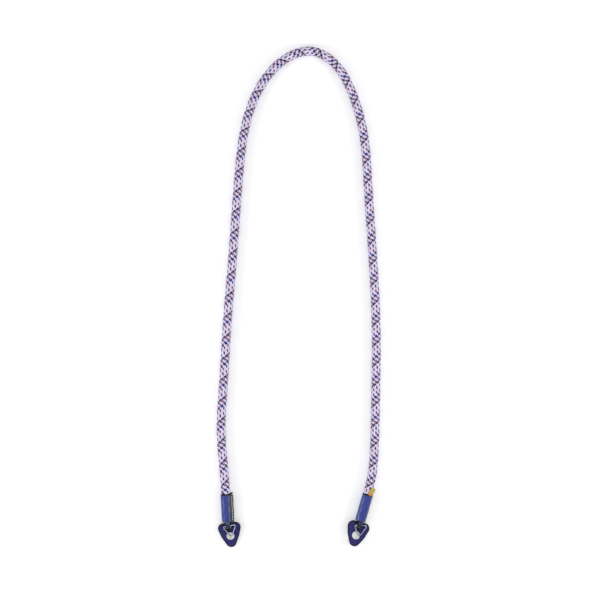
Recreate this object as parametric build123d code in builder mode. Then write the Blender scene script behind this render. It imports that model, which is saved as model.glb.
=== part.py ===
from build123d import *
import math
import os

# Rope shoulder strap with leather ends, in millimetres. The strap lies flat on z = 0 as a long
# inverted U. The origin is between the two leather ends, on the surface the strap lies on.

# Rope
ROPE_DIA = 9.0
SHEATH_WALL = 1.1
CORE_COUNT = 3
CORE_CLEARANCE = 0.1
ROPE_IN_SLEEVE = 14.0
STRAIGHT_AT_MOUTH = 16.0
CORNER_SHARE = 0.45

# The rope's route from the left end to the right one, on the floor. Chosen by hand.
ROUTE = [
    (-77, 86),
    (-74.5, 138),
    (-71, 196),
    (-65.5, 258),
    (-60.5, 322),
    (-54.5, 386),
    (-40.5, 430),
    (-16, 460),
    (16, 471),
    (44, 454),
    (58.5, 418),
    (67, 378),
    (70, 328),
    (73.5, 262),
    (78, 190),
    (77, 112),
]

# Leather sleeve, wrapped round the rope's end and sewn along one side
WRAP_WALL = 0.15
WRAP_LENGTH = 13.0
WRAP_SHOWING = 1.0
LEATHER = 0.6
SLEEVE_LENGTH = 26.9
FUNNEL_LENGTH = 6.0
FUNNEL_BORE_R = 4.5
FLANGE_REACH = 7.4
FLANGE_THICKNESS = 1.5
FLANGE_ROUND = 0.6
FLANGE_FOOT = 1.0

# Seam thread
STITCH_COUNT = 9
STITCH_PITCH = 2.8
STITCH_LENGTH = 1.7
THREAD_DIA = 0.5
THREAD_BEND_R = 0.3
SEAM_OFFSET = 5.6

# Tongue, the leather loop that carries the ring and the pad
TONGUE_WIDTH = 4.6
TONGUE_THICKNESS = 0.8
TONGUE_HALF_HEIGHT = 3.3
TONGUE_TUCK = 9.5
LOOP_CENTRE_Y = 0.6
LOOP_CENTRE_Z = -0.8

# Split ring: a triangle of two wire turns, its top bar on the hinge axis
MOUTH_TO_BAR = 30.6
WIRE_DIA = 0.95
WIRE_PITCH = 1.0
RING_WIDTH = 14.8
RING_HEIGHT = 13.4
RING_CORNER_R = 1.7
RAMP_BEND_R = 0.9
RAMP_START = 0.36
RAMP_END = 0.6
WIRE_END_GAP = 0.06

# Lug pad, shaped like a plectrum, with a slot for the tongue and a round hole for the lug
PAD_FRONT = -1.15
PAD_THICKNESS = 1.5
LOBE_X = 5.9
LOBE_Y = -2.8
LOBE_R = 5.5
BELLY_Y = -8.0
BELLY_R = 9.5
TIP_Y = -17.5
TIP_R = 5.2
LUG_HOLE_Y = -11.3
LUG_HOLE_R = 4.0
SLOT_WIDTH = 5.8
SLOT_LOW_Y = -3.5
SLOT_HIGH_Y = -0.4
SLOT_ROUND = 0.8
PAD_EDGE_ROUND = 0.3

# Folded tag, tucked into the right sleeve's mouth
TAG_WIDTH = 4.2
TAG_LAYER = 0.3
TAG_GAP = 0.15
TAG_LENGTH = 9.4
TAG_TUCK = 1.2
TAG_ROUND_SIDE = 26.0
TAG_LEAN = 13.0
TAG_RADIUS = 4.7

# Where each end lies: mouth of the sleeve, heading of its axis, roll of its right side towards the
# floor for the seam flange and for the rest, how far the tongue, pad and ring sit to the right of
# its axis, and how the pad and the ring are turned and pitched
LEFT = {
    "name": "left",
    "mouth": (-71.2, 22.0, 5.25),
    "heading": 2.9,
    "flange_roll": 0.0,
    "roll": 0.0,
    "tongue_x": 0.55,
    "pad_x": 1.6,
    "pad_turn": 4.6,
    "ring_x": 1.9,
    "ring_turn": 8.5,
    "pitch": 8.8,
}
RIGHT = {
    "name": "right",
    "mouth": (70.5, 21.8, 5.3),
    "heading": -16.0,
    "flange_roll": 42.0,
    "roll": 14.0,
    "tongue_x": 0.55,
    "pad_x": 0.6,
    "pad_turn": -1.0,
    "ring_x": 1.6,
    "ring_turn": 9.0,
    "pitch": 6.5,
}

rope_r = ROPE_DIA / 2
bore_r = rope_r + WRAP_WALL
sleeve_r = bore_r + LEATHER
sleeve_low_y = MOUTH_TO_BAR - SLEEVE_LENGTH
inside_r = rope_r - SHEATH_WALL
core_r = inside_r / (1 + 2 / math.sqrt(3)) - CORE_CLEARANCE / 2
core_offset = inside_r - core_r - CORE_CLEARANCE / 2


def save(piece, name):
    """Label a finished piece and write it to its own file."""
    piece.part.label = name
    export_step(piece.part, f"parts/{name}.step")


def on(frame, plane):
    """A plane given in a frame's own coordinates."""
    return Plane(frame.location * plane.location)


def turned(frame, x=0.0, y=0.0, z=0.0):
    """A frame turned about its own axes, in degrees."""
    return Plane(frame.location * Location((0, 0, 0), (x, y, z)))


def sleeve_frame(end):
    """The frame of one end: origin on the ring's bar axis, +Y up the sleeve, +Z out of its face."""
    heading = math.radians(end["heading"])
    down = Vector(math.sin(heading), -math.cos(heading), 0)
    centre = Vector(*end["mouth"]) + down * MOUTH_TO_BAR
    flat = Plane(origin=centre, x_dir=(math.cos(heading), math.sin(heading), 0), z_dir=(0, 0, 1))
    return turned(flat, y=end["roll"]).offset(-LOOP_CENTRE_Z)


def hanging_frame(end, kind):
    """The frame of the "ring" or the "pad": slid along the bar, turned and pitched about it."""
    slid = Plane(sleeve_frame(end).location * Location((end[f"{kind}_x"], 0, 0)))
    return turned(turned(slid, z=end[f"{kind}_turn"]), x=end["pitch"])


def axis_plane(end, y, roll=0.0):
    """The plane across the sleeve's axis at a height y, facing up the sleeve, +X to its right."""
    tube = sleeve_frame(end)
    centre = tube.from_local_coords(Vector(0, y, LOOP_CENTRE_Z))
    across = Plane(origin=centre, x_dir=tube.x_dir, z_dir=tube.y_dir)
    return turned(across, z=roll)


def route_points():
    """All the rope's route points, from its left end inside the sleeve to its right end."""
    points = [Vector(x, y, rope_r) for x, y in ROUTE]
    for end, first in ((LEFT, True), (RIGHT, False)):
        mouth = Vector(*end["mouth"])
        heading = math.radians(end["heading"])
        down = Vector(math.sin(heading), -math.cos(heading), 0)
        inner = mouth + down * ROPE_IN_SLEEVE
        outer = mouth - down * STRAIGHT_AT_MOUTH
        points = [inner, outer] + points if first else points + [outer, inner]
    return points


def corner_radii(points):
    """The largest arc that fits each corner of the route."""
    radii = []
    for before, here, after in zip(points, points[1:], points[2:]):
        turn = math.radians((here - before).get_angle(after - here))
        run = min((here - before).length, (after - here).length)
        radii.append(CORNER_SHARE * run / math.tan(turn / 2))
    return radii


def rope_path():
    points = route_points()
    radii = corner_radii(points)
    print("route radii:", [round(r) for r in radii])
    with BuildLine() as route:
        FilletPolyline(*points, radius=radii)
    return route.wire()


def rope_sheath(path):
    with BuildPart() as sheath:
        with BuildSketch(path ^ 0):
            Circle(rope_r)
            Circle(inside_r, mode=Mode.SUBTRACT)
        sweep(path=path)
    section = math.pi * (rope_r**2 - inside_r**2)
    print("rope length:", round(path.length, 1), "sheath volume:", round(sheath.part.volume),
          "section times length:", round(section * path.length))
    save(sheath, "rope_sheath")


def core_strand(path, index):
    with BuildPart() as strand:
        with BuildSketch(path ^ 0):
            with PolarLocations(core_offset, 1, start_angle=90 + index * 360 / CORE_COUNT):
                Circle(core_r)
        sweep(path=path)
    save(strand, f"rope_core_{index + 1}")


def end_wrap(end):
    top = MOUTH_TO_BAR + WRAP_SHOWING
    with BuildPart() as wrap:
        with BuildSketch(axis_plane(end, top)):
            Circle(bore_r)
            Circle(rope_r, mode=Mode.SUBTRACT)
        extrude(amount=-WRAP_LENGTH)
    return wrap


def seam_thread(end):
    """One thread that runs in and out of the flange, so each face shows a row of short stitches."""
    height = (FLANGE_THICKNESS + THREAD_DIA) / 2
    length = (STITCH_COUNT - 1) * STITCH_PITCH + STITCH_LENGTH
    first_y = sleeve_low_y + (SLEEVE_LENGTH - length) / 2
    seam = axis_plane(end, first_y, end["flange_roll"] - end["roll"])
    across = Plane(origin=(SEAM_OFFSET, 0, 0), x_dir=(0, 1, 0), z_dir=(1, 0, 0))
    points = []
    for k in range(STITCH_COUNT):
        start = k * STITCH_PITCH
        stop = start + STITCH_LENGTH
        points += [(-height, start), (height, start), (height, stop), (-height, stop)]
    with BuildPart() as thread:
        with BuildLine(on(seam, across)) as row:
            FilletPolyline(*points[1:-1], radius=THREAD_BEND_R)
        with BuildSketch(row.line ^ 0):
            Circle(THREAD_DIA / 2)
        sweep(path=row.wire())
    return thread


def sleeve(end, thread, tag=None):
    roll = end["flange_roll"] - end["roll"]
    mouth = axis_plane(end, MOUTH_TO_BAR, roll)
    neck = axis_plane(end, sleeve_low_y + FUNNEL_LENGTH, roll)
    low = axis_plane(end, sleeve_low_y, roll)
    straight = SLEEVE_LENGTH - FUNNEL_LENGTH
    with BuildPart() as leather:
        with BuildSketch(mouth):
            Circle(sleeve_r)
        extrude(amount=-straight)
        with BuildSketch(neck):
            Circle(sleeve_r)
        with BuildSketch(low):
            Circle(FUNNEL_BORE_R + LEATHER)
        loft()
        with BuildSketch(mouth):
            with Locations((FLANGE_REACH / 2, 0)):
                RectangleRounded(FLANGE_REACH, FLANGE_THICKNESS, FLANGE_ROUND)
        extrude(amount=FLANGE_FOOT - SLEEVE_LENGTH)
        with BuildSketch(mouth):
            Circle(bore_r)
        extrude(amount=-straight, mode=Mode.SUBTRACT)
        with BuildSketch(neck):
            Circle(bore_r)
        with BuildSketch(low):
            Circle(FUNNEL_BORE_R)
        loft(mode=Mode.SUBTRACT)
        add(thread.part, mode=Mode.SUBTRACT)
        if tag:
            add(tag.part, mode=Mode.SUBTRACT)
    return leather


def tongue(end):
    """A flat strip bent round the ring's bar, its two ends tucked up inside the sleeve."""
    frame = sleeve_frame(end)
    reach = sleeve_low_y + TONGUE_TUCK - LOOP_CENTRE_Y
    with BuildPart() as strip:
        with BuildSketch(on(frame, Plane.YZ.offset(end["tongue_x"] - TONGUE_WIDTH / 2))):
            with Locations((LOOP_CENTRE_Y, LOOP_CENTRE_Z)):
                for radius, mode in ((TONGUE_HALF_HEIGHT, Mode.ADD),
                                     (TONGUE_HALF_HEIGHT - TONGUE_THICKNESS, Mode.SUBTRACT)):
                    Circle(radius, mode=mode)
                    Rectangle(reach, 2 * radius, align=(Align.MIN, Align.CENTER), mode=mode)
        extrude(amount=TONGUE_WIDTH)
    return strip


def split_ring(end):
    """Two turns of wire: the lower turn climbs to the upper one along the left leg."""
    frame = hanging_frame(end, "ring")
    half = RING_WIDTH / 2 - WIRE_DIA / 2
    apex_y = -(RING_HEIGHT - WIRE_DIA)
    left, right, apex = (-half, 0), (half, 0), (0, apex_y)
    low, high = -WIRE_PITCH / 2, WIRE_PITCH / 2

    def on_leg(share, level):
        return (left[0] * (1 - share), apex_y * share, level)

    turn_points = [
        on_leg(RAMP_END + WIRE_END_GAP, low),
        (*apex, low),
        (*right, low),
        (*left, low),
        on_leg(RAMP_START, low),
        on_leg(RAMP_END, high),
        (*apex, high),
        (*right, high),
        (*left, high),
        on_leg(RAMP_START - WIRE_END_GAP, high),
    ]
    corners = [RING_CORNER_R] * 3
    with BuildPart() as ring:
        with BuildLine(frame) as wire:
            FilletPolyline(*turn_points, radius=[*corners, RAMP_BEND_R, RAMP_BEND_R, *corners])
        with BuildSketch(wire.line ^ 0):
            Circle(WIRE_DIA / 2)
        sweep(path=wire.wire())
    return ring


def lug_pad(end):
    frame = hanging_frame(end, "pad")
    slot_y = (SLOT_LOW_Y + SLOT_HIGH_Y) / 2
    with BuildPart() as pad:
        with BuildSketch(on(frame, Plane.XY.offset(PAD_FRONT))):
            with Locations((-LOBE_X, LOBE_Y), (LOBE_X, LOBE_Y)):
                Circle(LOBE_R)
            with Locations((0, BELLY_Y)):
                Circle(BELLY_R)
            with Locations((0, TIP_Y)):
                Circle(TIP_R)
            make_hull()
        extrude(amount=-PAD_THICKNESS)
        fillet(pad.edges(), PAD_EDGE_ROUND)
        with BuildSketch(on(frame, Plane.XY.offset(PAD_FRONT))):
            with Locations((0, LUG_HOLE_Y)):
                Circle(LUG_HOLE_R)
            with Locations((end["tongue_x"] - end["pad_x"], slot_y)):
                RectangleRounded(SLOT_WIDTH, SLOT_HIGH_Y - SLOT_LOW_Y, SLOT_ROUND)
        extrude(amount=-PAD_THICKNESS, mode=Mode.SUBTRACT)
    return pad


def folded_tag(end):
    """A narrow strip folded in half, tangent to the rope's upper right side and leaning outwards."""
    mouth = axis_plane(end, MOUTH_TO_BAR)
    side = math.radians(TAG_ROUND_SIDE)
    outward = Vector(math.sin(side), -math.cos(side), 0)
    root = on(mouth, Plane(origin=outward * TAG_RADIUS, x_dir=(0, 0, 1), z_dir=outward))
    leaning = turned(root, z=-TAG_LEAN)
    thickness = 2 * TAG_LAYER + TAG_GAP
    with BuildPart() as tag:
        with BuildSketch(on(leaning, Plane.XZ.offset(-TAG_WIDTH / 2))):
            with Locations((-TAG_TUCK, 0)):
                Rectangle(TAG_LENGTH + TAG_TUCK, thickness, align=(Align.MIN, Align.MIN))
                with Locations((0, TAG_LAYER)):
                    Rectangle(TAG_LENGTH + TAG_TUCK - TAG_LAYER, TAG_GAP,
                              align=(Align.MIN, Align.MIN), mode=Mode.SUBTRACT)
        extrude(amount=TAG_WIDTH)
    return tag


os.makedirs("parts", exist_ok=True)
rope_line = rope_path()
rope_sheath(rope_line)
for strand_index in range(CORE_COUNT):
    core_strand(rope_line, strand_index)
for strap_end in (LEFT, RIGHT):
    side_name = strap_end["name"]
    tag_piece = folded_tag(strap_end) if side_name == "right" else None
    wrap_piece = end_wrap(strap_end)
    thread_piece = seam_thread(strap_end)
    save(sleeve(strap_end, thread_piece, tag_piece), f"{side_name}_sleeve")
    save(wrap_piece, f"{side_name}_end_wrap")
    save(thread_piece, f"{side_name}_seam_thread")
    save(tongue(strap_end), f"{side_name}_tongue")
    save(split_ring(strap_end), f"{side_name}_split_ring")
    save(lug_pad(strap_end), f"{side_name}_lug_pad")
    if tag_piece:
        save(tag_piece, "right_tag")
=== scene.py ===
import math

import bmesh
import bpy
import numpy as np
from mathutils import Matrix, Vector


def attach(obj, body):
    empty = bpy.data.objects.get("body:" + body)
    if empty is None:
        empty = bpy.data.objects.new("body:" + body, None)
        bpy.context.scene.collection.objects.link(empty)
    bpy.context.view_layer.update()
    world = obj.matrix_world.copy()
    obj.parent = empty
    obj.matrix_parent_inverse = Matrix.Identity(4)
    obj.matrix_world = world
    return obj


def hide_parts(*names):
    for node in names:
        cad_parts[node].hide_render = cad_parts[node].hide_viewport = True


MM = 0.001

# The rope's route, in millimetres: the control points of one NURBS spline, left end first.
ROPE_ROUTE = [
    (-70.49, 8.02, 5.25),
    (-72.01, 37.98, 5.25),
    (-77, 86, 4.5),
    (-73.2, 138, 4.5),
    (-69.9, 196, 4.5),
    (-64.4, 258, 4.5),
    (-59.9, 322, 4.5),
    (-54.3, 386, 4.5),
    (-39.6, 429.2, 4.5),
    (-15.2, 458.7, 4.5),
    (15.6, 469.2, 4.5),
    (42, 452.2, 4.5),
    (58.5, 418, 4.5),
    (68.4, 378.3, 4.5),
    (71.2, 328, 4.5),
    (75.8, 262, 4.5),
    (79.8, 190, 4.5),
    (78.6, 112, 4.5),
    (77.6, 67, 4.8),
    (74.91, 37.18, 5.3),
    (66.64, 8.34, 5.3),
]
ROPE_R = 4.5

# The braid: 16 strands climb to the right and 16 to the left, each over two and under two.
BRAID_PITCH = 21.0
BRAID_START = 7.5
TIGHTER_FROM = 300.0
TIGHTER_BY = 0.0375
CARRIERS = 16
STEPS_PER_PITCH = 40
STRAND_WIDTH = 1.08
STRAND_THICKNESS = 0.46
STRAND_WAVE = 0.2
RIGHT_SHIFT = 0.5
LEFT_SHIFT = 0.15
# One letter per strand: w white, l lilac, n navy, b blue, r red, p plum, m mauve
RIGHT_STRANDS = "wnmlrwlnbwwwwwww"
LEFT_STRANDS = "nnlwrrwwbbwwppww"
STRAND_COLOURS = {
    "w": ("white", (219, 210, 237)),
    "l": ("lilac", (178, 168, 203)),
    "n": ("navy", (20, 20, 66)),
    "b": ("blue", (32, 42, 128)),
    "r": ("red", (118, 22, 44)),
    "p": ("plum", (60, 18, 48)),
    "m": ("mauve", (112, 82, 124)),
}

# The leather ends, in millimetres. Each end's own frame has its origin on the ring's bar, +Y up
# the sleeve and +Z out of its face.
ENDS = [
    {
        "name": "left",
        "mouth": (-71.2, 22.0, 5.25),
        "heading": 2.9,
        "flange_roll": 0.0,
        "roll": 0.0,
        "tongue_x": 0.55,
        "pad_x": 1.6,
        "pad_turn": 4.6,
        "pitch": 8.8,
        "curl": 0.0,
    },
    {
        "name": "right",
        "mouth": (70.5, 21.8, 5.3),
        "heading": -16.0,
        "flange_roll": 42.0,
        "roll": 14.0,
        "tongue_x": 0.55,
        "pad_x": 0.6,
        "pad_turn": -1.0,
        "pitch": 6.5,
        "curl": -46.0,
        "curl_side": -60.0,
        "curl_from": -3.5,
    },
]
MOUTH_TO_BAR = 30.6
TUBE_DEPTH = 0.8
SLEEVE_BORE_R = 4.65
LEATHER = 0.6
SLEEVE_LENGTH = 26.9
FUNNEL_LENGTH = 6.0
FLANGE_REACH = 7.4
FLANGE_THICKNESS = 1.5
WRAP_LENGTH = 12.0
# Where the painted shade beside the flange begins, from the sleeve's axis: it covers the tube's side
# there, the crease and the flange.
SEAM_SHADE_FROM = 2.4
STITCHES = 9
STITCH_PITCH = 2.8
STITCH_LENGTH = 1.7
THREAD_DIA = 0.62
SEAM_OFFSET = 5.6
TONGUE_WIDTH = 4.6
TONGUE_THICKNESS = 0.8
TONGUE_TUCK = 9.5
LOOP_Y = 0.6
LOOP_R = 3.3
PAD_FRONT = -1.15
PAD_THICKNESS = 1.5
PAD_CIRCLES = [(-5.9, -2.8, 5.5), (5.9, -2.8, 5.5), (0, -8.0, 9.5), (0, -17.5, 5.2)]
LUG_HOLE_Y = -11.3
LUG_HOLE_R = 4.0
CURL_LENGTH = 11.0
# The leather under the ring is dark: how far to each side at the bar, how much less per
# millimetre down, and where it stops.
DARK_HALF_WIDTH = 5.0
DARK_TAPER = 0.42
DARK_LOW_Y = -8.6
TAG_WIDTH = 4.4
TAG_LAYER = 0.3
TAG_GAP = 0.15
TAG_LENGTH = 9.2
TAG_FOLD = 0.5
TAG_TUCK = 0.8
TAG_ROUND_SIDE = 22.0
TAG_FOLD_TILT = 4.0
TAG_LEAN = 14.0
TAG_RADIUS = 4.7
TAG_PRESSED = 0.3

LEATHER_BLUE = (18, 40, 124)
LEATHER_DARK = (9, 20, 78)
TONGUE_BLUE = (14, 24, 70)
# The colour of the painted shade on the sleeve beside the flange, in the crease and over the flange.
CREASE_SHADE = (8, 13, 22)
EDGE_BLACK = (8, 9, 20)
SUEDE_NAVY = (33, 31, 88)
SUEDE_EDGE = (9, 10, 26)


def linear(colour):
    """An sRGB colour in 0 to 255 as linear RGBA."""
    channels = []
    for value in colour:
        share = value / 255
        channels.append(share / 12.92 if share <= 0.04045 else ((share + 0.055) / 1.055) ** 2.4)
    return (*channels, 1.0)


# ---------------------------------------------------------------- materials


class Paint:
    """A Principled material, and short calls that add its nodes."""

    def __init__(self, name, colour, roughness, metallic=0.0):
        self.material = bpy.data.materials.new(name)
        self.material.use_nodes = True
        self.tree = self.material.node_tree
        self.shader = self.tree.nodes["Principled BSDF"]
        self.set("Base Color", linear(colour))
        self.set("Roughness", roughness)
        self.set("Metallic", metallic)
        self.material.diffuse_color = linear(colour)

    def set(self, socket, value):
        self.shader.inputs[socket].default_value = value

    def node(self, kind, **values):
        made = self.tree.nodes.new("ShaderNode" + kind)
        for name, value in values.items():
            setattr(made, name, value)
        return made

    def link(self, output, target):
        self.tree.links.new(output, target)

    def place(self, scale=(1, 1, 1), turn=(0, 0, 0)):
        """Object coordinates, turned and then scaled."""
        coordinates = self.node("TexCoord")
        mapping = self.node("Mapping")
        mapping.inputs["Scale"].default_value = scale
        mapping.inputs["Rotation"].default_value = [math.radians(a) for a in turn]
        self.link(coordinates.outputs["Object"], mapping.inputs["Vector"])
        return mapping.outputs["Vector"]

    def noise(self, scale, detail=3.0, roughness=0.5, vector=None):
        made = self.node("TexNoise")
        made.inputs["Scale"].default_value = scale
        made.inputs["Detail"].default_value = detail
        made.inputs["Roughness"].default_value = roughness
        self.link(vector or self.place(), made.inputs["Vector"])
        return made.outputs["Fac"]

    def cells(self, scale, vector=None, feature="F1"):
        made = self.node("TexVoronoi", feature=feature)
        made.inputs["Scale"].default_value = scale
        self.link(vector or self.place(), made.inputs["Vector"])
        return made.outputs["Distance"]

    def ramp(self, factor, low, high, colours=None):
        """The factor stretched from low..high to 0..1, or to a colour between the two given."""
        made = self.node("ValToRGB")
        made.color_ramp.elements[0].position = low
        made.color_ramp.elements[1].position = high
        if colours:
            made.color_ramp.elements[0].color = linear(colours[0])
            made.color_ramp.elements[1].color = linear(colours[1])
        self.link(factor, made.inputs["Fac"])
        return made.outputs["Color"]

    def blend(self, factor, first, second):
        """The colour from first to second as the factor goes from 0 to 1."""
        made = self.node("Mix", data_type="RGBA")
        for name, value in (("A", first), ("B", second)):
            socket = [s for s in made.inputs if s.name == name and s.type == "RGBA"][0]
            if hasattr(value, "is_linked"):
                self.link(value, socket)
            else:
                socket.default_value = linear(value)
        self.link(factor, made.inputs["Factor"])
        return [s for s in made.outputs if s.type == "RGBA"][0]

    def attribute(self, name):
        made = self.node("Attribute", attribute_name=name)
        return made.outputs["Fac"]

    def math(self, operation, *values):
        made = self.node("Math", operation=operation)
        for socket, value in zip(made.inputs, values):
            if hasattr(value, "is_linked"):
                self.link(value, socket)
            else:
                socket.default_value = value
        return made.outputs["Value"]

    def bump(self, height, strength, distance_mm):
        made = self.node("Bump")
        made.inputs["Strength"].default_value = strength
        made.inputs["Distance"].default_value = distance_mm * MM
        self.link(height, made.inputs["Height"])
        old = self.shader.inputs["Normal"].links
        if old:
            self.link(old[0].from_socket, made.inputs["Normal"])
        self.link(made.outputs["Normal"], self.shader.inputs["Normal"])

    def vary_roughness(self, factor, low, high):
        made = self.node("MapRange")
        made.inputs["To Min"].default_value = low
        made.inputs["To Max"].default_value = high
        self.link(factor, made.inputs["Value"])
        self.link(made.outputs["Result"], self.shader.inputs["Roughness"])


def yarn_paint(name, colour):
    """Shiny polyester yarn: fine filaments along the strand, a little unevenly dyed."""
    paint = Paint(name, colour, 0.5)
    paint.set("Sheen Weight", 0.08)
    paint.set("Sheen Roughness", 0.4)
    paint.set("Specular IOR Level", 0.3)
    uv = paint.node("UVMap", uv_map="strand")
    stretch = paint.node("Mapping")
    stretch.inputs["Scale"].default_value = (9.0, 0.5, 1.0)
    paint.link(uv.outputs["UV"], stretch.inputs["Vector"])
    filaments = paint.noise(1.0, detail=2.0, vector=stretch.outputs["Vector"])
    darker = tuple(value * 0.84 for value in colour)
    shade = paint.ramp(filaments, 0.3, 0.62, (darker, colour))
    paint.link(shade, paint.shader.inputs["Base Color"])
    paint.bump(filaments, 0.5, 0.06)
    paint.vary_roughness(filaments, 0.62, 0.42)
    return paint.material


def leather_paint(name, colour, dark):
    """Smooth dyed leather: fine pebbled grain, slow changes of tone and darker rubbed patches."""
    paint = Paint(name, colour, 0.42)
    paint.set("Specular IOR Level", 0.3)
    paint.set("Coat Weight", 0.45)
    paint.set("Coat Roughness", 0.28)
    tone = paint.noise(420.0, detail=4.0)
    shade = paint.ramp(tone, 0.3, 0.7, (dark, colour))
    mixed = paint.blend(paint.math("MULTIPLY", tone, 0.5), colour, shade)
    # Painted shade: the 'seam' attribute darkens the sleeve from beside the flange, through the crease
    # and over the flange.
    crease_shaded = paint.blend(paint.math("MULTIPLY", paint.attribute("seam"), 0.92), mixed, CREASE_SHADE)
    edged = paint.blend(paint.attribute("edge"), crease_shaded, EDGE_BLACK)
    paint.link(edged, paint.shader.inputs["Base Color"])
    grain = paint.cells(2600.0, feature="F1")
    paint.bump(grain, 0.35, 0.05)
    paint.bump(paint.noise(900.0, detail=5.0), 0.25, 0.12)
    paint.vary_roughness(tone, 0.34, 0.5)
    return paint.material


def suede_paint(name):
    """Navy suede-finished leather with a short nap and darker, waxed edges."""
    paint = Paint(name, SUEDE_NAVY, 0.85)
    paint.set("Sheen Weight", 0.12)
    paint.set("Sheen Roughness", 0.5)
    paint.set("Specular IOR Level", 0.3)
    nap = paint.noise(1500.0, detail=6.0, roughness=0.7)
    lighter = tuple(value * 1.3 for value in SUEDE_NAVY)
    shade = paint.ramp(nap, 0.3, 0.72, (tuple(v * 0.72 for v in SUEDE_NAVY), lighter))
    edged = paint.blend(paint.attribute("edge"), shade, SUEDE_EDGE)
    paint.link(edged, paint.shader.inputs["Base Color"])
    paint.bump(nap, 0.35, 0.12)
    return paint.material


def chrome_paint(name):
    """Plated wire with faint draw marks and small smudges."""
    paint = Paint(name, (176, 178, 200), 0.24, 1.0)
    marks = paint.noise(1200.0, detail=4.0)
    paint.vary_roughness(marks, 0.18, 0.32)
    paint.bump(marks, 0.08, 0.02)
    tone = paint.ramp(marks, 0.3, 0.7, ((140, 142, 168), (176, 178, 202)))
    paint.link(tone, paint.shader.inputs["Base Color"])
    return paint.material


def wax_paint(name):
    """The black waxed band that seals the sleeve's mouth."""
    paint = Paint(name, (14, 14, 24), 0.7)
    paint.set("Specular IOR Level", 0.2)
    lumps = paint.noise(1400.0, detail=4.0)
    shade = paint.ramp(lumps, 0.3, 0.7, ((6, 6, 12), (18, 18, 30)))
    paint.link(shade, paint.shader.inputs["Base Color"])
    paint.bump(lumps, 0.6, 0.15)
    paint.vary_roughness(lumps, 0.6, 0.8)
    return paint.material


def thread_paint(name):
    """Pale waxed thread."""
    paint = Paint(name, (200, 212, 208), 0.6)
    fibre = paint.noise(3000.0, detail=3.0)
    shade = paint.ramp(fibre, 0.3, 0.7, ((160, 176, 176), (222, 232, 226)))
    paint.link(shade, paint.shader.inputs["Base Color"])
    paint.bump(fibre, 0.4, 0.05)
    return paint.material


def gold_paint(name):
    """Woven ribbon that goes from orange-brown at the sleeve to olive at the fold."""
    paint = Paint(name, (190, 150, 60), 0.42)
    paint.set("Sheen Weight", 0.2)
    coordinates = paint.node("TexCoord")
    slant = paint.node("Mapping")
    slant.inputs["Scale"].default_value = (math.sqrt(0.5), math.sqrt(0.5), 1.0)
    slant.inputs["Rotation"].default_value = (0.0, 0.0, math.radians(-45))
    paint.link(coordinates.outputs["Generated"], slant.inputs["Vector"])
    along = paint.node("TexGradient")
    paint.link(slant.outputs["Vector"], along.inputs["Vector"])
    shade = paint.ramp(along.outputs["Fac"], 0.35, 0.62, ((188, 122, 58), (166, 146, 66)))
    paint.link(shade, paint.shader.inputs["Base Color"])
    paint.bump(paint.noise(2500.0, detail=3.0), 0.4, 0.08)
    return paint.material


def core_paint(name):
    """Undyed core fibre, seen only between the strands."""
    paint = Paint(name, (205, 203, 215), 0.9)
    fibre = paint.noise(1800.0, detail=3.0)
    shade = paint.ramp(fibre, 0.3, 0.7, ((150, 150, 166), (215, 213, 225)))
    paint.link(shade, paint.shader.inputs["Base Color"])
    paint.bump(fibre, 0.5, 0.1)
    return paint.material


def dress(obj, material):
    obj.data.materials.clear()
    obj.data.materials.append(material)
    return obj


# ---------------------------------------------------------------- geometry helpers


def mesh_piece(name, points, faces, uvs=None):
    """A smooth-shaded mesh object from points in metres. uvs holds one pair per point."""
    mesh = bpy.data.meshes.new(name)
    mesh.from_pydata(points, [], faces)
    mesh.validate()
    mesh.polygons.foreach_set("use_smooth", [True] * len(mesh.polygons))
    if uvs is not None:
        layer = mesh.uv_layers.new(name="strand")
        corner_points = np.zeros(len(mesh.loops), dtype=np.int32)
        mesh.loops.foreach_get("vertex_index", corner_points)
        layer.data.foreach_set("uv", np.asarray(uvs, dtype=np.float32)[corner_points].ravel())
    mesh.update()
    obj = bpy.data.objects.new(name, mesh)
    bpy.context.scene.collection.objects.link(obj)
    return obj


def tube_faces(rings, sides, start=0, capped=True):
    """Quads between successive closed rings of points, and a cap at each end."""
    ring = np.arange(rings - 1)[:, None] * sides
    side = np.arange(sides)[None, :]
    after = (side + 1) % sides
    quads = np.stack(
        np.broadcast_arrays(ring + side, ring + after, ring + sides + after, ring + sides + side),
        axis=-1,
    )
    faces = (quads.reshape(-1, 4) + start).tolist()
    if capped:
        faces.append([start + k for k in reversed(range(sides))])
        faces.append([start + (rings - 1) * sides + k for k in range(sides)])
    return faces


# ---------------------------------------------------------------- the rope


def route_line():
    """The rope's centreline: the points of the NURBS spline whose control points are the route."""
    curve = bpy.data.curves.new("route", "CURVE")
    curve.dimensions = "3D"
    curve.resolution_u = 40
    spline = curve.splines.new("NURBS")
    spline.points.add(len(ROPE_ROUTE) - 1)
    for point, place in zip(spline.points, ROPE_ROUTE):
        point.co = (*[value * MM for value in place], 1)
    spline.order_u = 3
    spline.use_endpoint_u = True
    holder = bpy.data.objects.new("route", curve)
    bpy.context.scene.collection.objects.link(holder)
    bpy.context.view_layer.update()
    mesh = bpy.data.meshes.new_from_object(holder)
    line = np.array([vertex.co for vertex in mesh.vertices])
    bpy.data.objects.remove(holder)
    bpy.data.meshes.remove(mesh)
    return line


def frames_along(line, step):
    """Evenly spaced points on a line, each with its tangent, its upward and its right-hand side."""
    gaps = np.linalg.norm(np.diff(line, axis=0), axis=1)
    along = np.concatenate(([0], np.cumsum(gaps)))
    count = int(round(along[-1] / step)) + 1
    where = np.linspace(0, along[-1], count)
    points = np.stack([np.interp(where, along, line[:, k]) for k in range(3)], axis=1)
    tangents = np.gradient(points, axis=0)
    tangents /= np.linalg.norm(tangents, axis=1)[:, None]
    up = np.array([0.0, 0.0, 1.0]) - tangents * tangents[:, 2:3]
    up /= np.linalg.norm(up, axis=1)[:, None]
    side = np.cross(tangents, up)
    return where, points, tangents, up, side


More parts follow.
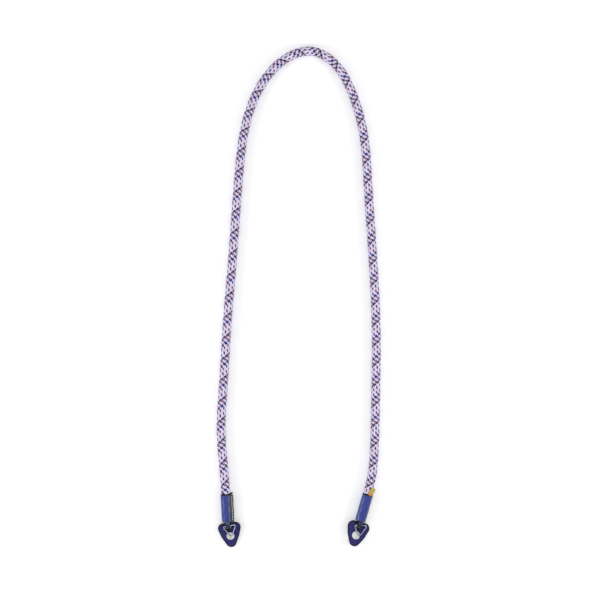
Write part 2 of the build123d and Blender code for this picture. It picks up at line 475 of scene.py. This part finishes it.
def climbed_turns(where):
    """How many turns a strand has made at each distance along the rope. The braid grows tighter
    towards the right end."""
    along = where / MM - BRAID_START
    tighter = np.clip(where / MM - TIGHTER_FROM, 0, None) * TIGHTER_BY
    return (along + tighter) / BRAID_PITCH


def strand_section():
    """A strand's closed cross-section: (across, height) as shares of its width and thickness."""
    return np.array([(-0.5, -0.05), (-0.3, 0.38), (0.0, 0.5), (0.3, 0.38), (0.5, -0.05), (0.0, -0.4)])


def weave_height(phase):
    """1 over a pair of crossing strands and -1 under the next pair, with a quick change between."""
    wave = np.sin(np.pi * phase / 2)
    return np.tanh(1.8 * wave) / math.tanh(1.8)


def braid_strand(frames, hand, index):
    """The points of one strand. hand is 1 for a strand that climbs to the right, and -1 to the left."""
    where, points, tangents, up, side = frames
    climbed = climbed_turns(where)
    if hand > 0:
        turn = climbed + (index + 0.5 - RIGHT_SHIFT) / CARRIERS
        crossed = (turn + climbed) * CARRIERS + LEFT_SHIFT
        height = weave_height(index + crossed)
    else:
        turn = -climbed + (index + 0.5 - LEFT_SHIFT) / CARRIERS
        crossed = (turn - climbed) * CARRIERS + RIGHT_SHIFT
        height = -weave_height(index + crossed)
    squeeze = sleeve_squeeze(where)
    mid_r = ROPE_R - STRAND_THICKNESS / 2 - STRAND_WAVE
    radius = (mid_r + STRAND_WAVE * height) * squeeze
    angle = 2 * np.pi * turn
    out = up * np.cos(angle)[:, None] + side * np.sin(angle)[:, None]
    round_way = side * np.cos(angle)[:, None] - up * np.sin(angle)[:, None]
    speed = 2 * np.pi * mid_r / BRAID_PITCH
    run = tangents + round_way * (hand * speed)
    run /= np.linalg.norm(run, axis=1)[:, None]
    across = np.cross(out, run)
    section = strand_section()
    centre = points + out * (radius * MM)[:, None]
    wide = section[:, 0] * STRAND_WIDTH * MM
    tall = section[:, 1] * STRAND_THICKNESS * MM
    ring = centre[:, None, :] + across[:, None, :] * wide[None, :, None]
    ring = ring + out[:, None, :] * tall[None, :, None]
    return ring.reshape(-1, 3)


def sleeve_squeeze(where):
    """The braid is a little thinner where a sleeve grips it."""
    length = where[-1]
    inside = np.minimum(where, length - where) / (15 * MM)
    return 0.955 + 0.045 * np.clip((inside - 0.85) / 0.3, 0, 1)


def strand_uvs(where):
    """Across the strand in millimetres, and along it."""
    section = strand_section()
    across = np.broadcast_to(section[:, 0] * STRAND_WIDTH, (len(where), len(section)))
    along = np.broadcast_to(where[:, None] * 1000 * 1.67, across.shape)
    return np.stack([across, along], axis=-1).reshape(-1, 2)


def braid_colour_piece(frames, letter):
    """All strands of one colour as one mesh."""
    name, colour = STRAND_COLOURS[letter]
    sides = len(strand_section())
    points, faces, uvs = [], [], []
    for hand, letters in ((1, RIGHT_STRANDS), (-1, LEFT_STRANDS)):
        for index, own in enumerate(letters):
            if own != letter:
                continue
            start = sum(len(part) for part in points)
            points.append(braid_strand(frames, hand, index))
            faces += tube_faces(len(frames[0]), sides, start)
            shifted = strand_uvs(frames[0]) + (3.7 * index, 11.3 * index * hand)
            uvs.append(shifted)
    piece = mesh_piece(f"braid_{name}", np.concatenate(points), faces, np.concatenate(uvs))
    dress(piece, yarn_paint(f"yarn_{name}", colour))
    return piece


def core_piece(frames):
    """The three-strand core, seen only as what fills the gaps in the braid."""
    where, points, tangents, up, side = frames
    sides = 18
    angles = np.arange(sides) * 2 * np.pi / sides
    out = up[:, None] * np.cos(angles)[None, :, None] + side[:, None] * np.sin(angles)[None, :, None]
    radius = (ROPE_R - 2 * STRAND_THICKNESS) * sleeve_squeeze(where) * MM
    ring = points[:, None] + out * radius[:, None, None]
    piece = mesh_piece("rope_core", ring.reshape(-1, 3), tube_faces(len(points), sides))
    return dress(piece, core_paint("core_fibre"))


def make_rope():
    line = route_line()
    frames = frames_along(line, BRAID_PITCH * MM / STEPS_PER_PITCH)
    pieces = {letter: braid_colour_piece(frames, letter) for letter in STRAND_COLOURS}
    core = core_piece(frames_along(line, 2.0 * MM))
    main = pieces.pop("w")
    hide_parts("rope_sheath")
    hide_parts("rope_core_1", "rope_core_2", "rope_core_3")
    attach(core, "strap")
    for piece in (main, *pieces.values()):
        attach(piece, "strap")
        if piece is not main:
            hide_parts("rope_sheath")


# ---------------------------------------------------------------- the leather ends


def end_matrix(end, slide=0.0, turn=0.0, pitch=0.0):
    """The frame of one end, in millimetres: origin on the ring's bar, +Y up the sleeve, +Z out of
    its face. slide, turn and pitch give the frame of the ring or the pad."""
    heading = math.radians(end["heading"])
    down = Vector((math.sin(heading), -math.cos(heading), 0))
    centre = Vector(end["mouth"]) + down * MOUTH_TO_BAR
    placed = Matrix.Translation(centre) @ Matrix.Rotation(heading, 4, "Z")
    rolled = placed @ Matrix.Rotation(math.radians(end["roll"]), 4, "Y")
    on_bar = rolled @ Matrix.Translation((slide, 0, TUBE_DEPTH))
    turned = on_bar @ Matrix.Rotation(math.radians(turn), 4, "Z")
    return turned @ Matrix.Rotation(math.radians(pitch), 4, "X")


def tube_matrix(end):
    """The end's frame moved to the sleeve's axis and rolled so that +X points along the flange."""
    roll = math.radians(end["flange_roll"] - end["roll"])
    to_axis = Matrix.Translation((0, 0, -TUBE_DEPTH))
    return end_matrix(end) @ to_axis @ Matrix.Rotation(roll, 4, "Y")


def placed(points, matrix):
    """Points in a local frame in millimetres, as points in the row's frame in metres."""
    m = np.array(matrix)
    return (np.asarray(points) @ m[:3, :3].T + m[:3, 3]) * MM


def add_attribute(obj, name, values):
    layer = obj.data.attributes.new(name, "FLOAT", "POINT")
    layer.data.foreach_set("value", np.asarray(values, dtype=np.float32))


def sleeve_section():
    """The wrapped leather's mid line, as (x, z): from the flange's upper edge round to its lower one."""
    radius = SLEEVE_BORE_R + LEATHER / 2
    level = FLANGE_THICKNESS / 2 - LEATHER / 2
    leave = math.radians(30)
    arc = np.linspace(leave, 2 * math.pi - leave, 64)
    ring = np.stack([radius * np.cos(arc), radius * np.sin(arc)], axis=1)
    start = np.array([FLANGE_REACH - 1.7, level])
    stop = ring[0]
    share = np.linspace(0, 1, 10)[:, None]
    pull = 2.2
    from_flange = np.array([-pull, 0.0])
    into_ring = np.array([-math.sin(leave), math.cos(leave)]) * pull
    crease = ((2 * share**3 - 3 * share**2 + 1) * start + (share**3 - 2 * share**2 + share) * from_flange
              + (3 * share**2 - 2 * share**3) * stop + (share**3 - share**2) * into_ring)
    flat = np.linspace((FLANGE_REACH - 0.15, level), start, 6)
    upper = np.concatenate([flat[:-1], crease[:-1]])
    lower = upper[::-1] * (1, -1)
    return np.concatenate([upper, ring, lower])


def normals_of(line):
    along = np.gradient(line, axis=0)
    along /= np.linalg.norm(along, axis=1)[:, None]
    return np.stack([-along[:, 1], along[:, 0]], axis=1)


def make_sleeve(end, paint):
    """Leather wrapped round the rope's end, its two edges brought together and sewn as a flange."""
    mid = sleeve_section()
    out = -normals_of(mid)
    count = len(mid)
    edge_ease = np.minimum(np.arange(count), np.arange(count)[::-1]) / 2.0
    edge_ease = np.sqrt(np.clip(edge_ease + 0.12, 0, 1))
    top, low = MOUTH_TO_BAR, MOUTH_TO_BAR - SLEEVE_LENGTH
    inner_rows = np.linspace(top - 0.3, low + 0.3, 107)
    rows = np.concatenate([[top, top - 0.04, top - 0.12], inner_rows, [low + 0.12, low + 0.04, low]])
    row_ease = np.sqrt(np.clip(np.minimum(top - rows, rows - low) / 0.25, 0.1, 1))
    flange = np.clip((mid[:, 0] - 4.6) / 1.2, 0, 1)
    points, edges, crease_shade_rows = [], [], []
    first_stitch = low + (SLEEVE_LENGTH - (STITCHES - 1) * STITCH_PITCH - STITCH_LENGTH) / 2
    for y, ease in zip(rows, row_ease):
        funnel = np.clip((low + FUNNEL_LENGTH - y) / FUNNEL_LENGTH, 0, 1)
        shrink = 1 - 0.03 * funnel
        wander = 0.07 * math.sin(y * 0.55) + 0.04 * math.sin(y * 1.3 + 1.0)
        angle = np.arctan2(mid[:, 1], mid[:, 0])
        lumps = 0.05 * np.sin(3 * angle + y * 0.45) + 0.04 * np.sin(5 * angle - y * 0.7)
        stitch = math.cos(2 * math.pi * (y - first_stitch - STITCH_LENGTH / 2) / STITCH_PITCH)
        line = mid * shrink + out * (lumps * (1 - flange) - 0.06 * (1 + stitch) * flange)[:, None]
        line = line + np.stack([wander * flange, np.zeros(count)], axis=1)
        half = (LEATHER / 2) * edge_ease * ease
        outer = line + out * half[:, None]
        inner = (line - out * half[:, None])[::-1]
        section = np.concatenate([outer, inner])
        points.append(np.stack([section[:, 0], np.full(2 * count, y), section[:, 1]], axis=1))
        from_end = min(top - y, y - low)
        to_edge = np.minimum(from_end, np.minimum(np.arange(count), np.arange(count)[::-1]) * 0.25)
        dark = np.clip(1.15 - to_edge / 0.7, 0, 1)
        edges.append(np.concatenate([dark, dark[::-1]]))
        # Painted shade on the tube's side by the flange, in the crease and over the flange, kept in the
        # 'seam' attribute.
        seam = np.clip((mid[:, 0] - SEAM_SHADE_FROM) / 0.7, 0, 1)
        crease_shade_rows.append(np.concatenate([seam, seam[::-1]]))
    sides = 2 * count
    faces = tube_faces(len(rows), sides, capped=False)
    last = (len(rows) - 1) * sides
    for k in range(count - 1):
        faces.append((k + 1, k, sides - 1 - k, sides - 2 - k))
        faces.append((last + k, last + k + 1, last + sides - 2 - k, last + sides - 1 - k))
    name = f"{end['name']}_sleeve_leather"
    piece = mesh_piece(name, placed(np.concatenate(points), tube_matrix(end)), faces)
    add_attribute(piece, "edge", np.concatenate(edges))
    add_attribute(piece, "seam", np.concatenate(crease_shade_rows))
    dress(piece, paint)
    finish_piece(piece, "strap", "sleeve_leather", f"{end['name']}_sleeve")


def finish_piece(piece, body, slot, *nodes):
    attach(piece, body)
    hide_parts(*nodes)


def swept(path, across, out, section):
    """Rings of points along a path. across and out hold one unit vector per point of the path, and
    section holds (across, out) offsets in millimetres, for all rings or one list for each."""
    section = np.asarray(section)
    if section.ndim == 2:
        section = np.broadcast_to(section, (len(path), *section.shape))
    ring = path[:, None] + across[:, None] * section[..., 0:1] + out[:, None] * section[..., 1:2]
    return ring.reshape(-1, 3)


def rounded_strip(width, thickness, steps=3):
    """The outline of a strip's cross-section, with rounded edges."""
    r = thickness / 2
    ends = []
    for side in (1, -1):
        base = 0 if side > 0 else math.pi
        for k in range(2 * steps + 1):
            a = base - math.pi / 2 + math.pi * k / (2 * steps)
            ends.append((side * (width / 2 - r) + r * math.cos(a), r * math.sin(a)))
    flat = np.linspace(0, 1, 7)[1:-1]
    right, left = ends[: 2 * steps + 1], ends[2 * steps + 1:]
    top = [(right[-1][0] * (1 - f) + left[0][0] * f, r) for f in flat]
    bottom = [(left[-1][0] * (1 - f) + right[0][0] * f, -r) for f in flat]
    return np.array(right + top + left + bottom)


def make_tongue(end, paint):
    """A leather strip bent round the ring's bar, its two ends tucked into the sleeve."""
    r = LOOP_R - TONGUE_THICKNESS / 2
    reach = MOUTH_TO_BAR - SLEEVE_LENGTH + TONGUE_TUCK
    straight = np.linspace(reach, LOOP_Y, 26)[:-1]
    bend = np.linspace(math.pi / 2, 3 * math.pi / 2, 30)
    line = [(y, r) for y in straight]
    line += [(LOOP_Y + r * math.cos(a), r * math.sin(a)) for a in bend]
    line += [(y, -r) for y in straight[::-1]]
    line = np.array(line)
    bulge = 0.12 * np.sin(line[:, 0] * 1.1)
    line[:, 1] += bulge * np.sign(line[:, 1]) * (np.abs(line[:, 1]) > r * 0.98)
    normal = normals_of(line)
    zeros = np.zeros(len(line))
    path = np.stack([zeros + end["tongue_x"], line[:, 0], line[:, 1] - TUBE_DEPTH], axis=1)
    out = np.stack([zeros, normal[:, 0], normal[:, 1]], axis=1)
    across = np.tile([1.0, 0.0, 0.0], (len(line), 1))
    section = rounded_strip(TONGUE_WIDTH, TONGUE_THICKNESS)
    points = swept(path, across, out, section)
    faces = tube_faces(len(path), len(section))
    piece = mesh_piece(f"{end['name']}_tongue_leather", placed(points, end_matrix(end)), faces)
    to_side = TONGUE_WIDTH / 2 - np.abs(section[:, 0])
    dark = np.tile(np.clip(1.1 - to_side / 0.7, 0, 1), len(path))
    # The long edges are edge-painted black. The bottom of the loop is darkened as painted shade.
    low = np.clip((LOOP_Y - 0.6 - np.repeat(line[:, 0], len(section))) / 1.2, 0, 1)
    add_attribute(piece, "edge", np.maximum(dark, low))
    add_attribute(piece, "seam", np.zeros(len(points)))
    fix_normals(piece)
    dress(piece, paint)
    finish_piece(piece, "strap", "tongue_leather", f"{end['name']}_tongue")


def fix_normals(obj):
    """Faces all outwards, whichever way round the rings were built."""
    work = bmesh.new()
    work.from_mesh(obj.data)
    bmesh.ops.recalc_face_normals(work, faces=work.faces)
    work.to_mesh(obj.data)
    work.free()


def make_thread(end, paint):
    """A twisted thread that runs in and out of the flange in short stitches."""
    height = FLANGE_THICKNESS / 2 + 0.22
    low = MOUTH_TO_BAR - SLEEVE_LENGTH
    length = (STITCHES - 1) * STITCH_PITCH + STITCH_LENGTH
    first = low + (SLEEVE_LENGTH - length) / 2
    corners = []
    for k in range(STITCHES):
        start = first + k * STITCH_PITCH
        stop = start + STITCH_LENGTH
        corners += [(start, -height), (start, height), (stop, height), (stop, -height)]
    corners = np.array(corners[1:-1])
    gaps = np.linalg.norm(np.diff(corners, axis=0), axis=1)
    along = np.concatenate([[0], np.cumsum(gaps)])
    where = np.arange(0, along[-1], 0.06)
    line = np.stack([np.interp(where, along, corners[:, k]) for k in range(2)], axis=1)
    for _ in range(5):
        line[1:-1] = (line[:-2] + line[1:-1] + line[2:]) / 3
    normal = normals_of(line)
    zeros = np.zeros(len(line))
    slant = 0.16 * np.sin(2 * math.pi * (line[:, 0] - first) / STITCH_PITCH)
    path = np.stack([zeros + SEAM_OFFSET + slant, line[:, 0], line[:, 1]], axis=1)
    out = np.stack([zeros, normal[:, 0], normal[:, 1]], axis=1)
    across = np.tile([1.0, 0.0, 0.0], (len(line), 1))
    angles = np.linspace(0, 2 * math.pi, 12, endpoint=False)
    twist = where[:, None] * 4.5
    radius = THREAD_DIA / 2 * (1 + 0.16 * np.cos(2 * (angles[None, :] - twist)))
    section = np.stack([radius * np.cos(angles), radius * np.sin(angles)], axis=-1)
    points = swept(path, across, out, section)
    faces = tube_faces(len(path), len(angles))
    piece = mesh_piece(f"{end['name']}_stitches", placed(points, tube_matrix(end)), faces)
    fix_normals(piece)
    dress(piece, paint)
    finish_piece(piece, "strap", "thread", f"{end['name']}_seam_thread")


def make_wrap(end, paint):
    """The black band between rope and leather. Its ragged rim shows above the sleeve's mouth, and
    a lump of it covers the flange's upper end."""
    sides = 96
    angles = np.linspace(0, 2 * math.pi, sides, endpoint=False)
    ragged = 0.16 * np.sin(3 * angles + 0.6) + 0.13 * np.sin(7 * angles) + 0.1 * np.sin(17 * angles)
    on_flange = np.exp(-((np.minimum(angles, 2 * math.pi - angles) / 0.24) ** 2))
    rows = []
    profile = [(-WRAP_LENGTH, 0.02), (-WRAP_LENGTH, 0.13), (-0.2, 0.13), (0.05, 0.5), (0.6, 0.52),
               (1.1, 0.36), (1.35, 0.12), (1.1, -0.12), (0.3, -0.16), (-WRAP_LENGTH, 0.02)]
    for rise, reach in profile[:-1]:
        height = np.where(rise > 0.2, rise + ragged * (rise > 0.2), rise)
        swell = reach * (1 + 0.25 * np.sin(11 * angles + 2) * (rise > 0))
        if rise > 0:
            height = height + 1.1 * on_flange
            swell = swell + 1.9 * on_flange * (reach > 0)
        radius = ROPE_R + swell
        rows.append(np.stack([radius * np.cos(angles), MOUTH_TO_BAR + height + 0 * angles,
                              radius * np.sin(angles)], axis=1))
    points = np.concatenate(rows)
    faces = tube_faces(len(rows), sides, capped=False)
    last = (len(rows) - 1) * sides
    for k in range(sides):
        after = (k + 1) % sides
        faces.append((last + k, last + after, after, k))
    piece = mesh_piece(f"{end['name']}_black_rim", placed(points, tube_matrix(end)), faces)
    fix_normals(piece)
    dress(piece, paint)
    finish_piece(piece, "strap", "wrap", f"{end['name']}_end_wrap")


def make_tag(paint):
    """A folded ribbon loop: it comes out of the right sleeve's mouth, lies on the rope and leans
    outwards, turning its face up towards the fold."""
    inner = TAG_LAYER / 2
    outer = TAG_GAP + 1.5 * TAG_LAYER
    fold_y = TAG_LENGTH - TAG_FOLD
    steps = np.linspace(-TAG_TUCK, fold_y, 24)
    fold = np.linspace(-math.pi / 2, math.pi / 2, 9)[1:-1]
    middle = (inner + outer) / 2
    half = (outer - inner) / 2
    line = [(y, inner) for y in steps]
    line += [(fold_y + half * math.cos(a), middle + half * math.sin(a)) for a in fold]
    line += [(y, outer) for y in steps[::-1]]
    line = np.array(line)
    normal = -normals_of(line)
    share = np.clip(line[:, 0] / TAG_LENGTH, 0, 1)
    tilt = np.radians(TAG_ROUND_SIDE * (1 - share) + TAG_FOLD_TILT * share)
    lean = math.radians(TAG_LEAN)
    ahead = np.array([math.sin(lean), math.cos(lean), 0.0])
    flat_side = np.array([math.cos(lean), -math.sin(lean), 0.0])
    up = np.array([0.0, 0.0, 1.0])
    across = flat_side * np.cos(tilt)[:, None] - up * np.sin(tilt)[:, None]
    face = np.cross(across, ahead)
    side = math.radians(TAG_ROUND_SIDE)
    root = np.array([math.sin(side), 0.0, math.cos(side)]) * TAG_RADIUS + (0.0, MOUTH_TO_BAR, 0.0)
    squeeze = np.clip(line[:, 0] / 2.5 + 0.3, 0.12, 1.0)
    wave = 0.25 * np.sin(share * 3.4)
    lift = line[:, 1] * squeeze + wave - TAG_PRESSED
    path = root + ahead * line[:, 0:1] + face * lift[:, None]
    out = ahead * normal[:, 0:1] + face * normal[:, 1:2]
    flat = rounded_strip(TAG_WIDTH, TAG_LAYER)
    section = np.repeat(flat[None], len(path), axis=0)
    # The ribbon is rounded to the rope where it leaves the sleeve, and flat towards its fold.
    wrapped = np.clip(1.1 - share * 1.6, 0, 1) * np.sign(out @ up)
    section[..., 1] -= wrapped[:, None] * section[..., 0] ** 2 / (2 * TAG_RADIUS)
    points = swept(path, across, out, section)
    right = ENDS[1]
    matrix = end_matrix(right) @ Matrix.Translation((0, 0, -TUBE_DEPTH))
    matrix = matrix @ Matrix.Rotation(math.radians(-right["roll"]), 4, "Y")
    faces = tube_faces(len(path), len(flat))
    piece = mesh_piece("right_tag_ribbon", placed(points, matrix), faces)
    fix_normals(piece)
    dress(piece, paint)
    finish_piece(piece, "strap", "tag", "right_tag")


def hull(points):
    """The convex outline of 2-D points, in order."""
    ordered = sorted(set(map(tuple, points)))

    def half(run):
        kept = []
        for p in run:
            while len(kept) > 1:
                (ax, ay), (bx, by) = kept[-2], kept[-1]
                if (bx - ax) * (p[1] - ay) - (by - ay) * (p[0] - ax) > 0:
                    break
                kept.pop()
            kept.append(p)
        return kept[:-1]

    return np.array(half(ordered) + half(ordered[::-1]))


def pad_outline():
    angles = np.linspace(0, 2 * math.pi, 72, endpoint=False)
    points = []
    for x, y, r in PAD_CIRCLES:
        points += [(x + r * math.cos(a), y + r * math.sin(a)) for a in angles]
    return hull(points)


def distance_to_outline(places, outline):
    """How far each 2-D place is from a closed outline."""
    best = np.full(len(places), 1e9)
    for a, b in zip(outline, np.roll(outline, -1, axis=0)):
        run = b - a
        share = np.clip(((places - a) @ run) / (run @ run), 0, 1)
        best = np.minimum(best, np.linalg.norm(places - (a + share[:, None] * run), axis=1))
    return best


def make_pad(end, node, paint):
    """A thick suede pad: the CAD pad, remeshed finely, with soft edges and a slight natural curl."""
    name = f"{end['name']}_pad_leather"
    piece = bpy.data.objects.new(name, node.data.copy())
    bpy.context.scene.collection.objects.link(piece)
    remesh = piece.modifiers.new("remesh", "REMESH")
    remesh.mode = "VOXEL"
    remesh.voxel_size = 0.2 * MM
    smooth = piece.modifiers.new("smooth", "SMOOTH")
    smooth.factor = 0.5
    smooth.iterations = 5
    ready = piece.evaluated_get(bpy.context.evaluated_depsgraph_get())
    mesh = bpy.data.meshes.new_from_object(ready)
    piece.modifiers.clear()
    piece.data = mesh
    mesh.name = name
    local = end_matrix(end, end["pad_x"], end["pad_turn"], end["pitch"])
    count = len(mesh.vertices)
    flat = np.zeros(count * 3)
    mesh.vertices.foreach_get("co", flat)
    back = np.array(local.inverted())
    points = (flat.reshape(-1, 3) / MM) @ back[:3, :3].T + back[:3, 3]
    outline = distance_to_outline(points[:, :2], pad_outline())
    hole = np.abs(np.hypot(points[:, 0], points[:, 1] - LUG_HOLE_Y) - LUG_HOLE_R)
    # Dark: edge paint round the outline, and a rim round the lug hole that is partly edge paint and
    # partly painted shade.
    dark = np.maximum(np.clip(1.5 - outline / 1.2, 0, 1), np.clip(0.9 - hole / 0.9, 0, 0.9))
    from_slot = np.abs(points[:, 0] - end["tongue_x"] + end["pad_x"])
    beside = from_slot - DARK_HALF_WIDTH - DARK_TAPER * points[:, 1]
    above = points[:, 1] - DARK_LOW_Y
    under_ring = np.clip(0.5 - beside / 0.8, 0, 1) * np.clip(above / 0.8, 0, 1)
    dark = np.maximum(dark, 0.95 * under_ring)
    front = np.clip((points[:, 2] - PAD_FRONT + PAD_THICKNESS / 2) / (PAD_THICKNESS / 2), -1, 1)
    sag = 0.16 * np.clip(1 - outline / 1.6, 0, 1) ** 2
    points[:, 2] -= sag * front
    uneven = np.sin(points[:, 0] * 0.9 + 1.3) * np.sin(points[:, 1] * 0.7) * 0.07
    points[:, 2] += uneven
    points = curled(points, end)
    mesh.vertices.foreach_set("co", placed(points, local).ravel())
    mesh.polygons.foreach_set("use_smooth", [True] * len(mesh.polygons))
    add_attribute(piece, "edge", dark)
    mesh.update()
    dress(piece, paint)
    body = f"{end['name']}_pad"
    finish_piece(piece, body, "pad_leather", f"{end['name']}_lug_pad")


def curled(points, end):
    """The points bent past a slanting line by the end's curl: down, or up if it is negative."""
    bend = math.radians(end["curl"])
    if not bend:
        return points
    side = math.radians(end["curl_side"])
    out = np.array([math.cos(side), math.sin(side)])
    away = points[:, 0] * out[0] + (points[:, 1] - LUG_HOLE_Y) * out[1] - end["curl_from"]
    past = np.clip(away, 0, None)
    radius = CURL_LENGTH / bend
    angle = np.minimum(past, CURL_LENGTH) / radius
    rest = np.clip(past - CURL_LENGTH, 0, None)
    height = points[:, 2] - PAD_FRONT
    reach = radius * np.sin(angle) + rest * np.cos(angle) - past + height * np.sin(angle)
    drop = radius * (1 - np.cos(angle)) + rest * np.sin(angle) + height * (1 - np.cos(angle))
    moved = points.copy()
    moved[:, 0] += reach * out[0]
    moved[:, 1] += reach * out[1]
    moved[:, 2] -= drop
    return moved


def make_ends(nodes):
    sleeve = leather_paint("leather_blue", LEATHER_BLUE, LEATHER_DARK)
    tongue = leather_paint("tongue_blue", TONGUE_BLUE, LEATHER_DARK)
    suede = suede_paint("suede_navy")
    chrome = chrome_paint("chrome")
    wax = wax_paint("black_wax")
    thread = thread_paint("thread_grey")
    for end in ENDS:
        make_sleeve(end, sleeve)
        make_tongue(end, tongue)
        make_thread(end, thread)
        make_wrap(end, wax)
        make_pad(end, nodes[f"{end['name']}_lug_pad"], suede)
        dress(nodes[f"{end['name']}_split_ring"], chrome)
    make_tag(gold_paint("gold_tag"))


# ---------------------------------------------------------------- stage


def make_stage():
    """A pale floor, an even pale surround, a soft light at each side and one above."""
    paint = Paint("floor_white", (245, 245, 246), 0.9)
    paint.set("Specular IOR Level", 0.1)
    floor = mesh_piece("floor", [(-6, -6, 0), (6, -6, 0), (6, 6, 0), (-6, 6, 0)], [(0, 1, 2, 3)])
    dress(floor, paint.material)
    world = bpy.data.worlds.new("surround")
    world.use_nodes = True
    sky = world.node_tree.nodes["Background"]
    sky.inputs["Color"].default_value = (1.0, 1.0, 1.0, 1.0)
    sky.inputs["Strength"].default_value = 0.76
    bpy.context.scene.world = world
    add_light("soft_left", (-0.85, 0.08, 0.45), (0.0, 0.15, 0.0), 0.3, 3.2)
    add_light("soft_right", (0.88, 0.08, 0.45), (0.0, 0.15, 0.0), 0.3, 3.2)
    add_light("soft_top", (0.02, 0.38, 1.9), (0.0, 0.32, 0.0), 0.3, 8.0)


def add_light(name, place, target, size, power):
    light = bpy.data.lights.new(name, "AREA")
    light.shape = "DISK"
    light.size = size
    light.energy = power
    holder = bpy.data.objects.new(name, light)
    holder.location = place
    direction = Vector(target) - Vector(place)
    holder.rotation_euler = direction.to_track_quat("-Z", "Y").to_euler()
    bpy.context.scene.collection.objects.link(holder)


def make_camera():
    """Straight down from far above, with +Y up the picture and 600 mm across it."""
    camera = bpy.data.cameras.new("camera")
    camera.sensor_width = 36.0
    height = 2.2
    rope_middle = 0.005
    seen = 0.6
    camera.lens = camera.sensor_width * (height - rope_middle) / seen
    camera.clip_start = 0.01
    camera.clip_end = 50.0
    holder = bpy.data.objects.new("camera", camera)
    holder.location = (0.003, 0.217, height)
    bpy.context.scene.collection.objects.link(holder)
    bpy.context.scene.camera = holder


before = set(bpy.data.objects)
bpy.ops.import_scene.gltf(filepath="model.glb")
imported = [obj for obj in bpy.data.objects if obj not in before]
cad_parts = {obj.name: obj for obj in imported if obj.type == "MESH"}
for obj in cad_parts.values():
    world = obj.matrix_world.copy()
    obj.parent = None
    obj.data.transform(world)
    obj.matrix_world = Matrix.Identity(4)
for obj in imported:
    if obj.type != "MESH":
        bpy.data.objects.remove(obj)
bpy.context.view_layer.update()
bpy.context.scene.view_settings.view_transform = "Standard"
make_camera()
make_stage()
make_rope()
make_ends(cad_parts)
